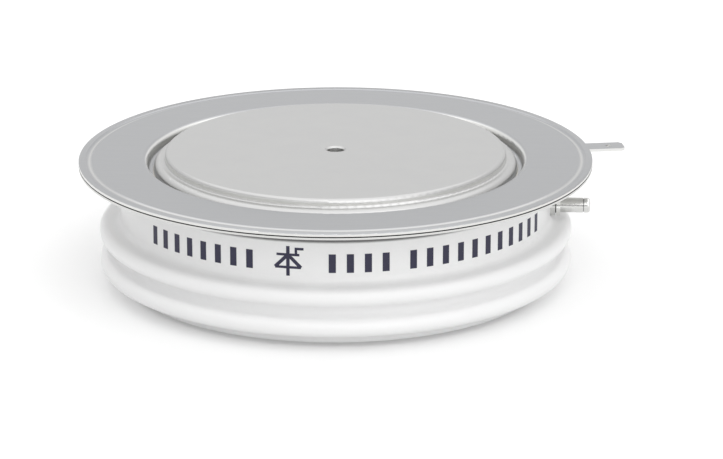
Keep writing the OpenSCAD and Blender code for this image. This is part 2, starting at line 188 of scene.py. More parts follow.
@dataclass(frozen=True)
class TurnedMetal(Finish):
    """Metal faced on a lathe: rings round the axis, a satin face with a faint cloud, a painted highlight on its
    walls.
    """

    colour: str
    cloud_colour: str
    # Painted highlight: a lighter grey on the upright walls, standing in for the light they reflect.
    wall_highlight_colour: str
    roughness: float
    wall_radius_mm: float = 48.5
    wall_reach_mm: float = 2.5
    wall_slope: float = 0.35
    hole_radius_mm: float = 4.0
    hole_share: float = 0.5
    ring_pitch_mm: float = 0.5
    ring_depth_mm: float = 0.002
    ring_strength: float = 0.3
    cloud_mm: float = 9.0
    cloud_detail: float = 5.0
    sheen_spread: float = 0.04

    def surface(self, tree: Tree) -> Socket:
        """Draws tool rings on the axis and a faint cloud in the plating.

        Args:
            tree: The material's node tree.

        Returns:
            The shader's output.
        """
        place = add_node(tree, "ShaderNodeTexCoord").outputs["Object"]
        # Real tool marks are finer than a pixel, so these are coarser.
        rings = add_node(
            tree,
            "ShaderNodeTexWave",
            {"Vector": place, "Scale": WAVE_SPACING / (self.ring_pitch_mm * MM)},
            wave_type="RINGS",
            rings_direction="Z",
        )
        cloud = add_node(
            tree,
            "ShaderNodeTexNoise",
            {"Vector": place, "Scale": 1 / (self.cloud_mm * MM), "Detail": self.cloud_detail},
        )
        tint = add_node(
            tree,
            "ShaderNodeMix",
            {
                MIX_SHARE: cloud.outputs["Fac"],
                MIX_FIRST: linear_colour(self.colour),
                MIX_SECOND: linear_colour(self.cloud_colour),
            },
            data_type="RGBA",
        )
        colour = add_node(
            tree,
            "ShaderNodeMix",
            {
                MIX_SHARE: self.painted_wall_highlight(tree, place),
                MIX_FIRST: tint.outputs[MIX_RESULT],
                MIX_SECOND: linear_colour(self.wall_highlight_colour),
            },
            data_type="RGBA",
        )
        sheen = add_node(
            tree,
            "ShaderNodeMapRange",
            {
                "Value": cloud.outputs["Fac"],
                "To Min": self.roughness - self.sheen_spread,
                "To Max": self.roughness + self.sheen_spread,
            },
        )
        relief = add_node(
            tree,
            "ShaderNodeBump",
            {
                "Height": rings.outputs["Fac"],
                "Strength": self.ring_strength,
                "Distance": self.ring_depth_mm * MM,
            },
        )
        return add_node(
            tree,
            "ShaderNodeBsdfPrincipled",
            {
                "Base Color": colour.outputs[MIX_RESULT],
                "Metallic": 1.0,
                "Roughness": sheen.outputs["Result"],
                "Normal": relief.outputs["Normal"],
            },
        ).outputs["BSDF"]

    def painted_wall_highlight(self, tree: Tree, place: Socket) -> Socket:
        """Marks the walls round the raised face and in its hole, which get a painted highlight.

        Args:
            tree: The material's node tree.
            place: Object coordinates.

        Returns:
            The mark's output, from 0 to 1.
        """
        facing = add_node(tree, "ShaderNodeNewGeometry").outputs["Normal"]
        normal = add_node(tree, "ShaderNodeSeparateXYZ", {0: facing})
        slope = add_node(tree, "ShaderNodeMath", {0: normal.outputs["Z"]}, operation="ABSOLUTE")
        upright = add_node(
            tree,
            "ShaderNodeMapRange",
            {"Value": slope.outputs[0], "From Max": self.wall_slope, "To Min": 1.0, "To Max": 0.0},
            interpolation_type="SMOOTHSTEP",
        )
        radius = axis_distance(tree, place)
        rim = add_node(
            tree,
            "ShaderNodeMath",
            {0: radius, 1: self.wall_radius_mm * MM, 2: self.wall_reach_mm * MM},
            operation="COMPARE",
        )
        hole = add_node(
            tree, "ShaderNodeMath", {0: radius, 1: self.hole_radius_mm * MM}, operation="LESS_THAN"
        )
        near = add_node(
            tree,
            "ShaderNodeMath",
            {0: hole.outputs[0], 1: self.hole_share, 2: rim.outputs[0]},
            operation="MULTIPLY_ADD",
        )
        return add_node(
            tree, "ShaderNodeMath", {0: upright.outputs["Result"], 1: near.outputs[0]}, operation="MULTIPLY"
        ).outputs[0]


@dataclass(frozen=True)
class StreakedMetal(Finish):
    """Metal rolled to sheet or drawn to tube or wire: fine streaks one way, which blur what it mirrors."""

    colour: str
    streak_colour: str
    roughness: float
    axis: Axis = Axis.ALONG_X
    streak_mm: float = 0.7
    streak_depth_mm: float = 0.003
    streak_strength: float = 0.2
    streak_detail: float = 6.0
    streak_grit: float = 0.6
    sheen_spread: float = 0.05

    def surface(self, tree: Tree) -> Socket:
        """Draws streaks by stretching a noise along the axis.

        Args:
            tree: The material's node tree.

        Returns:
            The shader's output.
        """
        place = add_node(tree, "ShaderNodeTexCoord").outputs["Object"]
        stretched = add_node(tree, "ShaderNodeMapping", {"Vector": place, "Scale": self.axis.value})
        streaks = add_node(
            tree,
            "ShaderNodeTexNoise",
            {
                "Vector": stretched.outputs["Vector"],
                "Scale": 1 / (self.streak_mm * MM),
                "Detail": self.streak_detail,
                "Roughness": self.streak_grit,
            },
        )
        sheen = add_node(
            tree,
            "ShaderNodeMapRange",
            {
                "Value": streaks.outputs["Fac"],
                "To Min": self.roughness - self.sheen_spread,
                "To Max": self.roughness + self.sheen_spread,
            },
        )
        return add_node(
            tree,
            "ShaderNodeBsdfPrincipled",
            {
                "Base Color": self.tint(tree, place, streaks.outputs["Fac"]),
                "Metallic": 1.0,
                "Roughness": sheen.outputs["Result"],
                "Normal": self.relief(tree, place, streaks.outputs["Fac"]),
            },
        ).outputs["BSDF"]

    def tint(self, tree: Tree, place: Socket, streaks: Socket) -> Socket:
        """Mixes the metal's two greys along its streaks.

        Args:
            tree: The material's node tree.
            place: Object coordinates, not used here; the subclasses read them.
            streaks: The streaks' height, from 0 to 1.

        Returns:
            The colour's output.
        """
        return add_node(
            tree,
            "ShaderNodeMix",
            {
                MIX_SHARE: streaks,
                MIX_FIRST: linear_colour(self.colour),
                MIX_SECOND: linear_colour(self.streak_colour),
            },
            data_type="RGBA",
        ).outputs[MIX_RESULT]

    def relief(self, tree: Tree, place: Socket, streaks: Socket) -> Socket:
        """Raises the streaks.

        Args:
            tree: The material's node tree.
            place: Object coordinates, not used here; the subclasses read them.
            streaks: The streaks' height, from 0 to 1.

        Returns:
            The normal's output.
        """
        return add_node(
            tree,
            "ShaderNodeBump",
            {"Height": streaks, "Strength": self.streak_strength, "Distance": self.streak_depth_mm * MM},
        ).outputs["Normal"]


@dataclass(frozen=True, kw_only=True)
class WeldedSheet(StreakedMetal):
    """Rim sheet: painted highlights in groove, weld and edges, painted shade in its seam, and a low lip."""

    # Painted highlight on the upper wall of the groove round the pole.
    groove_highlight_colour: str
    # Painted highlight on the ring of the cold weld.
    weld_highlight_colour: str
    # Painted highlight on the upright cut edges.
    edge_highlight_colour: str
    # Painted shade inside the open seam between the sheets.
    seam_shade_colour: str
    groove_highlight_to_mm: float = 55.3
    groove_highlight_fade_mm: float = 0.6
    groove_highlight_bottom_mm: float = 33.2
    groove_highlight_top_mm: float = 35.7
    weld_highlight_radius_mm: float = 71.8
    weld_highlight_width_mm: float = 0.8
    cut_from_mm: float = 68.0
    cut_slope: float = 0.6
    seam_radius_mm: float = 74.3
    seam_width_mm: float = 0.9
    seam_height_mm: float = 36.05
    seam_reach_mm: float = 0.17
    lip_from_mm: float = 73.2
    lip_slope: float = 0.16

    def tint(self, tree: Tree, place: Socket, streaks: Socket) -> Socket:
        """Lays the painted highlights and the painted shade of the seam over the sheet's greys.

        Args:
            tree: The material's node tree.
            place: Object coordinates.
            streaks: The streaks' height, from 0 to 1.

        Returns:
            The colour's output.
        """
        radius = axis_distance(tree, place)
        colour = super().tint(tree, place, streaks)
        for amount, code in (
            (self.painted_groove_highlight(tree, place, radius), self.groove_highlight_colour),
            (self.painted_weld_highlight(tree, radius), self.weld_highlight_colour),
            (self.cut_edges(tree, radius), self.edge_highlight_colour),
            (self.painted_seam_shade(tree, place, radius), self.seam_shade_colour),
        ):
            layers = {MIX_SHARE: amount, MIX_FIRST: colour, MIX_SECOND: linear_colour(code)}
            mix = add_node(tree, "ShaderNodeMix", layers, data_type="RGBA")
            colour = mix.outputs[MIX_RESULT]
        return colour

    def relief(self, tree: Tree, place: Socket, streaks: Socket) -> Socket:
        """Lets the lip outside the weld hang a little, under the streaks.

        Args:
            tree: The material's node tree.
            place: Object coordinates.
            streaks: The streaks' height, from 0 to 1.

        Returns:
            The normal's output.
        """
        radius = axis_distance(tree, place)
        past = add_node(tree, "ShaderNodeMath", {0: radius, 1: self.lip_from_mm * MM}, operation="SUBTRACT")
        lip = add_node(tree, "ShaderNodeMath", {0: past.outputs[0], 1: 0.0}, operation="MAXIMUM")
        drop = add_node(tree, "ShaderNodeMath", {0: lip.outputs[0], 1: -self.lip_slope}, operation="MULTIPLY")
        finer = super().relief(tree, place, streaks)
        return add_node(
            tree,
            "ShaderNodeBump",
            {"Height": drop.outputs[0], "Strength": 1.0, "Distance": 1.0, "Normal": finer},
        ).outputs["Normal"]

    def painted_groove_highlight(self, tree: Tree, place: Socket, radius: Socket) -> Socket:
        """Marks the upper wall of the groove round the pole, which gets a painted highlight.

        Args:
            tree: The material's node tree.
            place: Object coordinates.
            radius: The distance from the part's axis.

        Returns:
            The mark's output, from 0 to 1.
        """
        inside = {
            "Value": radius,
            "From Min": self.groove_highlight_to_mm * MM,
            "From Max": (self.groove_highlight_to_mm + self.groove_highlight_fade_mm) * MM,
            "To Min": 1.0,
            "To Max": 0.0,
        }
        above = {
            "Value": add_node(tree, "ShaderNodeSeparateXYZ", {0: place}).outputs["Z"],
            "From Min": self.groove_highlight_bottom_mm * MM,
            "From Max": self.groove_highlight_top_mm * MM,
        }
        marks = [
            add_node(tree, "ShaderNodeMapRange", reach, interpolation_type="SMOOTHSTEP").outputs["Result"]
            for reach in (inside, above)
        ]
        return add_node(tree, "ShaderNodeMath", {0: marks[0], 1: marks[1]}, operation="MULTIPLY").outputs[0]

    def painted_weld_highlight(self, tree: Tree, radius: Socket) -> Socket:
        """Marks the ring round the cold weld, which gets a painted highlight.

        Args:
            tree: The material's node tree.
            radius: The distance from the part's axis.

        Returns:
            The mark's output, from 0 to 1.
        """
        off = add_node(
            tree, "ShaderNodeMath", {0: radius, 1: self.weld_highlight_radius_mm * MM}, operation="SUBTRACT"
        )
        away = add_node(tree, "ShaderNodeMath", {0: off.outputs[0]}, operation="ABSOLUTE")
        reach = {
            "Value": away.outputs[0],
            "From Max": self.weld_highlight_width_mm * MM,
            "To Min": 1.0,
            "To Max": 0.0,
        }
        return add_node(tree, "ShaderNodeMapRange", reach, interpolation_type="SMOOTHSTEP").outputs["Result"]

    def cut_edges(self, tree: Tree, radius: Socket) -> Socket:
        """Marks the sheet's cut edges, which stand upright, so that their normal has little height, for a
        painted highlight.

        Args:
            tree: The material's node tree.
            radius: The distance from the part's axis.

        Returns:
            The mark's output, 0 or 1.
        """
        facing = add_node(tree, "ShaderNodeNewGeometry").outputs["Normal"]
        normal = add_node(tree, "ShaderNodeSeparateXYZ", {0: facing})
        slope = add_node(tree, "ShaderNodeMath", {0: normal.outputs["Z"]}, operation="ABSOLUTE")
        upright = add_node(
            tree, "ShaderNodeMath", {0: slope.outputs[0], 1: self.cut_slope}, operation="LESS_THAN"
        )
        outside = add_node(
            tree, "ShaderNodeMath", {0: radius, 1: self.cut_from_mm * MM}, operation="GREATER_THAN"
        )
        return add_node(
            tree, "ShaderNodeMath", {0: upright.outputs[0], 1: outside.outputs[0]}, operation="MULTIPLY"
        ).outputs[0]

    def painted_seam_shade(self, tree: Tree, place: Socket, radius: Socket) -> Socket:
        """Marks the faces inside the lip that stays open between the two sheets, for painted shade.

        Args:
            tree: The material's node tree.
            place: Object coordinates.
            radius: The distance from the part's axis.

        Returns:
            The mark's output, 0 or 1.
        """
        height = add_node(tree, "ShaderNodeSeparateXYZ", {0: place}).outputs["Z"]
        between = add_node(
            tree,
            "ShaderNodeMath",
            {0: height, 1: self.seam_height_mm * MM, 2: self.seam_reach_mm * MM},
            operation="COMPARE",
        )
        inside = add_node(
            tree,
            "ShaderNodeMath",
            {0: radius, 1: self.seam_radius_mm * MM, 2: self.seam_width_mm * MM},
            operation="COMPARE",
        )
        return add_node(
            tree, "ShaderNodeMath", {0: between.outputs[0], 1: inside.outputs[0]}, operation="MULTIPLY"
        ).outputs[0]


@dataclass(frozen=True, kw_only=True)
class WeldedTube(StreakedMetal):
    """Drawn tube with a flange: a painted highlight on the flange, painted shade in the groove and the weld's
    gap.
    """

    # Painted light: a highlight on the flange, and shade in the groove and in the weld's gap.
    flange_highlight_colour: str
    groove_shade_colour: str
    weld_gap_shade_colour: str
    flange_at_mm: float = 65.3
    flange_reach_mm: float = 0.6
    weld_at_mm: float = 64.55
    groove_at_mm: float = 72.65
    gap_reach_mm: float = 0.14

    def tint(self, tree: Tree, place: Socket, streaks: Socket) -> Socket:
        """Lays the flange, the groove and the weld's gap over the tube's greys.

        Args:
            tree: The material's node tree.
            place: Object coordinates.
            streaks: The streaks' height, from 0 to 1.

        Returns:
            The colour's output.
        """
        along = add_node(tree, "ShaderNodeSeparateXYZ", {0: place}).outputs["X"]
        colour = super().tint(tree, place, streaks)
        for middle, reach, code in (
            (self.flange_at_mm, self.flange_reach_mm, self.flange_highlight_colour),
            (self.weld_at_mm, self.gap_reach_mm, self.weld_gap_shade_colour),
            (self.groove_at_mm, self.gap_reach_mm, self.groove_shade_colour),
        ):
            spot = add_node(
                tree, "ShaderNodeMath", {0: along, 1: middle * MM, 2: reach * MM}, operation="COMPARE"
            )
            layers = {MIX_SHARE: spot.outputs[0], MIX_FIRST: colour, MIX_SECOND: linear_colour(code)}
            mix = add_node(tree, "ShaderNodeMix", layers, data_type="RGBA")
            colour = mix.outputs[MIX_RESULT]
        return colour


@dataclass(frozen=True)
class GlazedCeramic(Finish):
    """Alumina with a clear glaze: milky white, a soft gloss with slight ripples, a dark grey band round its
    top.
    """

    colour: str
    speck_colour: str
    top_band_colour: str
    roughness: float
    top_band_from_mm: float = 30.2
    top_band_fade_mm: float = 0.8
    ripple_mm: float = 7.0
    ripple_depth_mm: float = 0.04
    ripple_strength: float = 0.25
    ripple_detail: float = 2.0
    gloss_spread: float = 0.05
    speck_mm: float = 0.6
    speck_detail: float = 3.0
    ior: float = 1.52

    def surface(self, tree: Tree) -> Socket:
        """Draws the ripples of the glaze over the ceramic's fine grain.

        Args:
            tree: The material's node tree.

        Returns:
            The shader's output.
        """
        place = add_node(tree, "ShaderNodeTexCoord").outputs["Object"]
        ripples, specks = (
            add_node(tree, "ShaderNodeTexNoise", {"Vector": place, "Scale": 1 / (wide * MM), "Detail": fine})
            for wide, fine in ((self.ripple_mm, self.ripple_detail), (self.speck_mm, self.speck_detail))
        )
        tint = add_node(
            tree,
            "ShaderNodeMix",
            {
                MIX_SHARE: specks.outputs["Fac"],
                MIX_FIRST: linear_colour(self.colour),
                MIX_SECOND: linear_colour(self.speck_colour),
            },
            data_type="RGBA",
        )
        # Darker grey on everything above a set height, at the top of the neck.
        height = add_node(tree, "ShaderNodeSeparateXYZ", {0: place}).outputs["Z"]
        band = add_node(
            tree,
            "ShaderNodeMapRange",
            {
                "Value": height,
                "From Min": self.top_band_from_mm * MM,
                "From Max": (self.top_band_from_mm + self.top_band_fade_mm) * MM,
            },
            interpolation_type="SMOOTHSTEP",
        )
        colour = add_node(
            tree,
            "ShaderNodeMix",
            {
                MIX_SHARE: band.outputs["Result"],
                MIX_FIRST: tint.outputs[MIX_RESULT],
                MIX_SECOND: linear_colour(self.top_band_colour),
            },
            data_type="RGBA",
        )
        gloss = add_node(
            tree,
            "ShaderNodeMapRange",
            {
                "Value": ripples.outputs["Fac"],
                "To Min": self.roughness - self.gloss_spread,
                "To Max": self.roughness + self.gloss_spread,
            },
        )
        relief = add_node(
            tree,
            "ShaderNodeBump",
            {
                "Height": ripples.outputs["Fac"],
                "Strength": self.ripple_strength,
                "Distance": self.ripple_depth_mm * MM,
            },
        )
        return add_node(
            tree,
            "ShaderNodeBsdfPrincipled",
            {
                "Base Color": colour.outputs[MIX_RESULT],
                "Roughness": gloss.outputs["Result"],
                "IOR": self.ior,
                "Normal": relief.outputs["Normal"],
            },
        ).outputs["BSDF"]


@dataclass(frozen=True)
class PolishedSilicon(Finish):
    """Silicon wafer, polished: a dark mirror whose oxide shifts the grey towards blue in soft clouds."""

    colour: str
    oxide_colour: str
    roughness: float
    cloud_mm: float = 14.0
    cloud_detail: float = 2.0

    def surface(self, tree: Tree) -> Socket:
        """Draws the mirror with its oxide clouds.

        Args:
            tree: The material's node tree.

        Returns:
            The shader's output.
        """
        place = add_node(tree, "ShaderNodeTexCoord").outputs["Object"]
        oxide = add_node(
            tree,
            "ShaderNodeTexNoise",
            {"Vector": place, "Scale": 1 / (self.cloud_mm * MM), "Detail": self.cloud_detail},
        )
        tint = add_node(
            tree,
            "ShaderNodeMix",
            {
                MIX_SHARE: oxide.outputs["Fac"],
                MIX_FIRST: linear_colour(self.colour),
                MIX_SECOND: linear_colour(self.oxide_colour),
            },
            data_type="RGBA",
        )
        return add_node(
            tree,
            "ShaderNodeBsdfPrincipled",
            {"Base Color": tint.outputs[MIX_RESULT], "Metallic": 1.0, "Roughness": self.roughness},
        ).outputs["BSDF"]


@dataclass(frozen=True)
class MouldedPolymer(Finish):
    """Rubber or plastic out of a mould: an even colour with a faint mottle and a fine, dull skin."""

    colour: str
    mottle_colour: str
    roughness: float
    mottle_mm: float = 3.0
    mottle_detail: float = 3.0
    skin_mm: float = 0.4
    skin_detail: float = 2.0
    skin_depth_mm: float = 0.01
    skin_strength: float = 0.4

    def surface(self, tree: Tree) -> Socket:
        """Draws the mottle and the moulded skin.

        Args:
            tree: The material's node tree.

        Returns:
            The shader's output.
        """
        place = add_node(tree, "ShaderNodeTexCoord").outputs["Object"]
        mottle, skin = (
            add_node(tree, "ShaderNodeTexNoise", {"Vector": place, "Scale": 1 / (wide * MM), "Detail": fine})
            for wide, fine in ((self.mottle_mm, self.mottle_detail), (self.skin_mm, self.skin_detail))
        )
        tint = add_node(
            tree,
            "ShaderNodeMix",
            {
                MIX_SHARE: mottle.outputs["Fac"],
                MIX_FIRST: linear_colour(self.colour),
                MIX_SECOND: linear_colour(self.mottle_colour),
            },
            data_type="RGBA",
        )
        relief = add_node(
            tree,
            "ShaderNodeBump",
            {
                "Height": skin.outputs["Fac"],
                "Strength": self.skin_strength,
                "Distance": self.skin_depth_mm * MM,
            },
        )
        return add_node(
            tree,
            "ShaderNodeBsdfPrincipled",
            {
                "Base Color": tint.outputs[MIX_RESULT],
                "Roughness": self.roughness,
                "Normal": relief.outputs["Normal"],
            },
        ).outputs["BSDF"]


@dataclass(frozen=True)
class PrintInk(Finish):
    """Ink from a dot printer: a dark film, thinner in places, so that the white below lightens it."""

    colour: str
    thin_colour: str
    roughness: float
    blotch_mm: float = 0.8
    blotch_detail: float = 3.0

    def surface(self, tree: Tree) -> Socket:
        """Draws the film with its thin places.

        Args:
            tree: The material's node tree.

        Returns:
            The shader's output.
        """
        place = add_node(tree, "ShaderNodeTexCoord").outputs["Object"]
        blotches = add_node(
            tree,
            "ShaderNodeTexNoise",
            {"Vector": place, "Scale": 1 / (self.blotch_mm * MM), "Detail": self.blotch_detail},
        )
        tint = add_node(
            tree,
            "ShaderNodeMix",
            {
                MIX_SHARE: blotches.outputs["Fac"],
                MIX_FIRST: linear_colour(self.colour),
                MIX_SECOND: linear_colour(self.thin_colour),
            },
            data_type="RGBA",
        )
        return add_node(
            tree,
            "ShaderNodeBsdfPrincipled",
            {"Base Color": tint.outputs[MIX_RESULT], "Roughness": self.roughness},
        ).outputs["BSDF"]


@dataclass(frozen=True)
class StudioFloor(Finish):
    """Pale studio floor: white to the eye and in mirrors, apart from the object's soft shadow."""

    colour: str
    glow: float

    def surface(self, tree: Tree) -> Socket:
        """Draws a matt floor that glows a little for what sees it, so that it is white where no shadow falls.

        Args:
            tree: The material's node tree.

        Returns:
            The shader's output.
        """
        matt = add_node(tree, "ShaderNodeBsdfDiffuse", {"Color": linear_colour(self.colour)})
        share = add_node(tree, "ShaderNodeMath", {0: seen_rays(tree), 1: self.glow}, operation="MULTIPLY")
        white = add_node(tree, "ShaderNodeEmission", {"Strength": share.outputs[0]})
        return add_node(
            tree, "ShaderNodeAddShader", {0: matt.outputs["BSDF"], 1: white.outputs["Emission"]}
        ).outputs["Shader"]


# Nickel on turned copper: pale neutral grey, soft on the lapped face, with a painted highlight on the turned
# wall.
POLE_NICKEL = TurnedMetal("Nickel plate on turned copper", "#BBBBBA", "#B7B7B7", "#E4E4E2", 0.38)
# Rolled nickel-iron, pressed and plated: a cooler, darker grey than the pole, with painted highlights at its
# groove, weld and edges and painted shade in its seam.
LID_SHEET = WeldedSheet(
    "Pressed nickel-iron lid",
    "#A6A7A9",
    "#A3A4A6",
    0.3,
    groove_highlight_colour="#DEDEDC",
    weld_highlight_colour="#C2C2C1",
    edge_highlight_colour="#DEDEDC",
    seam_shade_colour="#484848",
)
# The same sheet in a lighter grey: a painted highlight, for the bright cut edge under the lid.
RIM_SHEET_PAINTED_LIGHTER = WeldedSheet(
    "Rolled nickel-iron sheet, painted lighter",
    "#DCDCDA",
    "#D6D6D4",
    0.34,
    groove_highlight_colour="#D4D4D2",
    weld_highlight_colour="#D4D4D2",
    edge_highlight_colour="#D4D4D2",
    seam_shade_colour="#484848",
)
# Alumina with a clear glaze: milky white, softly glossy.
CERAMIC = GlazedCeramic("Glazed white alumina", "#F6F6F6", "#F3F3F3", "#6C6C6C", 0.32)
# Drawn nickel-iron tube, bright, and lighter still to paint in light under the rim's shade: mirrors its
# surroundings in long streaks.
GATE_METAL = WeldedTube(
    "Drawn nickel-iron tube",
    "#DEDEDC",
    "#D4D4D2",
    0.22,
    streak_mm=0.4,
    flange_highlight_colour="#F8F8F6",
    groove_shade_colour="#909090",
    weld_gap_shade_colour="#202020",
)
# Lapped molybdenum: dark, slightly blue grey.
MOLYBDENUM = TurnedMetal("Lapped molybdenum", "#9A9DA1", "#8F9296", "#9A9DA1", 0.3)
# Polished silicon: near mirror, dark grey to blue.
SILICON = PolishedSilicon("Polished silicon", "#5C616A", "#535C70", 0.08)
# Silicone rubber: dull and a little yellow.
RUBBER = MouldedPolymer("Moulded silicone rubber", "#C8C0B0", "#BFB6A4", 0.7)
# Moulded plastic ring: cream, half dull.
RING_PLASTIC = MouldedPolymer("Moulded ring plastic", "#E9E4D6", "#E0DACB", 0.5)
# Waxy white insulating plastic of the cup and the sleeve.
CUP_PLASTIC = MouldedPolymer("Turned white fluoroplastic", "#EFEFEA", "#E6E6E0", 0.45)
# Drawn silver wire and the silver pin: bright and warm.
SILVER = StreakedMetal("Drawn silver", "#D8D7D2", "#CBCAC4", 0.2, streak_mm=0.3)
# Coiled spring wire: grey and bright.
SPRING_STEEL = StreakedMetal("Spring steel wire", "#A8AAAD", "#9A9CA0", 0.28, Axis.ALONG_Z, streak_mm=0.3)
# Dot printer's ink: blue-black with a violet cast.
INK = PrintInk("Violet-black ink", "#1F1D37", "#2B2946", 0.5)
# Silver-copper braze: a bright bead that ran into the corner.
BRAZE = StreakedMetal("Silver braze", "#C6C4BE", "#BAB7B0", 0.3, streak_mm=1.5)
# Pale, matt paper under the part.
FLOOR = StudioFloor("Pale studio floor", "#F2F2F2", 0.2)
# Black card behind the camera: its mirror image is a dark line along bright metal.
BLACK_CARD = MouldedPolymer("Black studio card", "#0C0C0C", "#101010", 0.8)


class ModellingBench:
    """The hand moves that the new pieces share: each works on the active object."""

    MERGE_DISTANCE = 0.001 * MM
    SMOOTH_ANGLE = math.radians(40)

    @staticmethod
    def clear() -> None:
        """Drops every selection."""
        bpy.ops.object.select_all(action="DESELECT")

    @classmethod
    def take(cls, piece: Piece) -> None:
        """Selects one piece and makes it active.

        Args:
            piece: The piece that the next moves work on.
        """
        cls.clear()
        piece.select_set(True)
        bpy.context.view_layer.objects.active = piece

    @classmethod
    def spin_ring(cls, name: str, profile: list[tuple[float, float]], steps: int) -> Piece:
        """Draws a closed profile vertex by vertex and spins it round the part's axis.

        Args:
            name: The piece's name.
            profile: Its corners as radius and height in metres, without the first one again at the end.
            steps: Sections round the axis.

        Returns:
            The ring.
        """
        cls.clear()
        radius, height = profile[0]
        bpy.ops.mesh.primitive_plane_add(size=MM, location=(radius, 0.0, height))
        ring = bpy.context.object
        ring.name = ring.data.name = name
        bpy.ops.object.transform_apply(location=True, rotation=True, scale=True)
        bpy.ops.object.mode_set(mode="EDIT")
        bpy.ops.mesh.select_all(action="SELECT")
        bpy.ops.mesh.merge(type="CENTER")
        for (r0, z0), (r1, z1) in zip(profile, profile[1:] + profile[:1]):
            bpy.ops.mesh.extrude_vertices_move(TRANSFORM_OT_translate={"value": (r1 - r0, 0.0, z1 - z0)})
        bpy.ops.mesh.select_all(action="SELECT")
        bpy.ops.mesh.remove_doubles(threshold=cls.MERGE_DISTANCE)
        bpy.ops.mesh.spin(steps=steps, angle=math.tau, center=(0.0, 0.0, 0.0), axis=(0.0, 0.0, 1.0))
        bpy.ops.mesh.select_all(action="SELECT")
        bpy.ops.mesh.remove_doubles(threshold=cls.MERGE_DISTANCE)
        bpy.ops.mesh.normals_make_consistent(inside=False)
        bpy.ops.object.mode_set(mode="OBJECT")
        bpy.ops.object.shade_smooth_by_angle(angle=cls.SMOOTH_ANGLE)
        return ring


@dataclass
class SubAssembly:
    """Pieces of the part that are built and dressed together."""

    frame: dict

    def dress_node(self, node: str, finish: Finish) -> None:
        """Puts a finish on a CAD node.

        Args:
            node: The node's name.
            finish: What it is made of.
        """
        for slot in self.frame["nodes"][node].material_slots:
            slot.material = finish.material()
        LOG.info("%s dressed in %s", node, finish.name)

    def add_piece(self, piece: Piece, finish: Finish) -> None:
        """Gives a new piece its finish and its place on the body.

        Args:
            piece: The finished piece.
            finish: What it is made of.
        """
        piece.data.materials.clear()
        piece.data.materials.append(finish.material())
        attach(piece, "root")
        LOG.info("%s made, %d faces", piece.name, len(piece.data.polygons))


@dataclass
class CathodeSide(SubAssembly):
    """The pole, the lid that is brazed to it and the weld ring under the lid's rim."""

    ledge_radius: float = 53.0 * MM
    groove_floor: float = 33.4 * MM
    braze_size: float = 0.45 * MM
    braze_arc_points: int = 5
    braze_sections: int = 192

    def build(self) -> None:
        """Runs a hollow bead of braze round the corner between the pole and the lid's floor."""
        size = self.braze_size
        corner = (self.ledge_radius, self.groove_floor)
        arc = [
            (
                self.ledge_radius + size * (1 - math.cos(turn)),
                self.groove_floor + size * (1 - math.sin(turn)),
            )
            for turn in (math.pi / 2 * i / (self.braze_arc_points - 1) for i in range(self.braze_arc_points))
        ]
        bead = ModellingBench.spin_ring("groove_braze", [corner, *reversed(arc)], self.braze_sections)
        self.add_piece(bead, BRAZE)

    def dress(self) -> None:
        """Dresses the CAD nodes of the cathode side."""
        self.dress_node("cathode_pole", POLE_NICKEL)
        self.dress_node("cathode_lid", LID_SHEET)
        self.dress_node("weld_ring", RIM_SHEET_PAINTED_LIGHTER)


